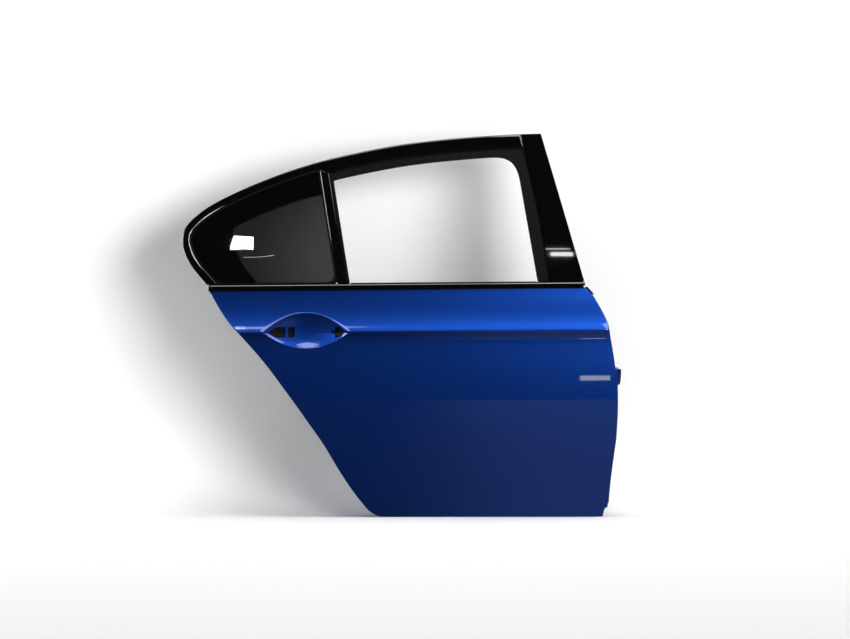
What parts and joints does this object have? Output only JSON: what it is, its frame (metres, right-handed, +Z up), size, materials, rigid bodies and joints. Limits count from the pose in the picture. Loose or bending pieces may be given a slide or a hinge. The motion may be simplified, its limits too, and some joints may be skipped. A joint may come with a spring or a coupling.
{
  "type": "car door shell",
  "caption": "Rear side door shell with pressed skin, shoulder crease, handle recess, framed window opening, fixed quarter window, inner panel, beam and hinge leaves.",
  "frame": {"origin": "on the hinge line, level with the upper hinge", "axes": "+X points to the car's front, +Y inboard and +Z up, with the outer skin facing -Y"},
  "size_m": [1.1614, 0.215, 1.015],
  "materials": {
    "blue_paint": "metallic with clear coat",
    "gloss_black": "high gloss",
    "black_paint": "satin",
    "rubber": "matt",
    "black_plastic": "matt",
    "dark_glass": "dark tinted",
    "primed_steel": "matt primer",
    "steel": "turned",
    "zinc": "zinc plated"
  },
  "bodies": {
    "root": {"outer_skin": "blue_paint", "inner_panel": "blue_paint", "window_frame": "black_paint", "frame_seal": "rubber", "roof_moulding": "gloss_black", "pillar_cover": "gloss_black", "division_post": "black_paint", "division_cover": "gloss_black", "glass_run": "rubber", "quarter_glass": "dark_glass", "quarter_glass_gasket": "rubber", "belt_moulding": "gloss_black", "belt_wiper_lip": "rubber", "belt_reinforcement_outer": "primed_steel", "belt_reinforcement_inner": "primed_steel", "front_edge_plug": "rubber", "intrusion_beam": "primed_steel", "front_beam_bracket": "primed_steel", "rear_beam_bracket": "primed_steel", "handle_carrier": "black_plastic", "front_access_plug": "rubber", "rear_access_plug": "rubber", "hinge_reinforcement": "primed_steel", "latch_reinforcement": "primed_steel", "upper_hinge_leaf": "blue_paint", "lower_hinge_leaf": "blue_paint", "upper_hinge_pin": "steel", "lower_hinge_pin": "steel", "upper_hinge_bolt_1": "zinc", "upper_hinge_bolt_2": "zinc", "lower_hinge_bolt_1": "zinc", "lower_hinge_bolt_2": "zinc"}
  },
  "joints": []
}
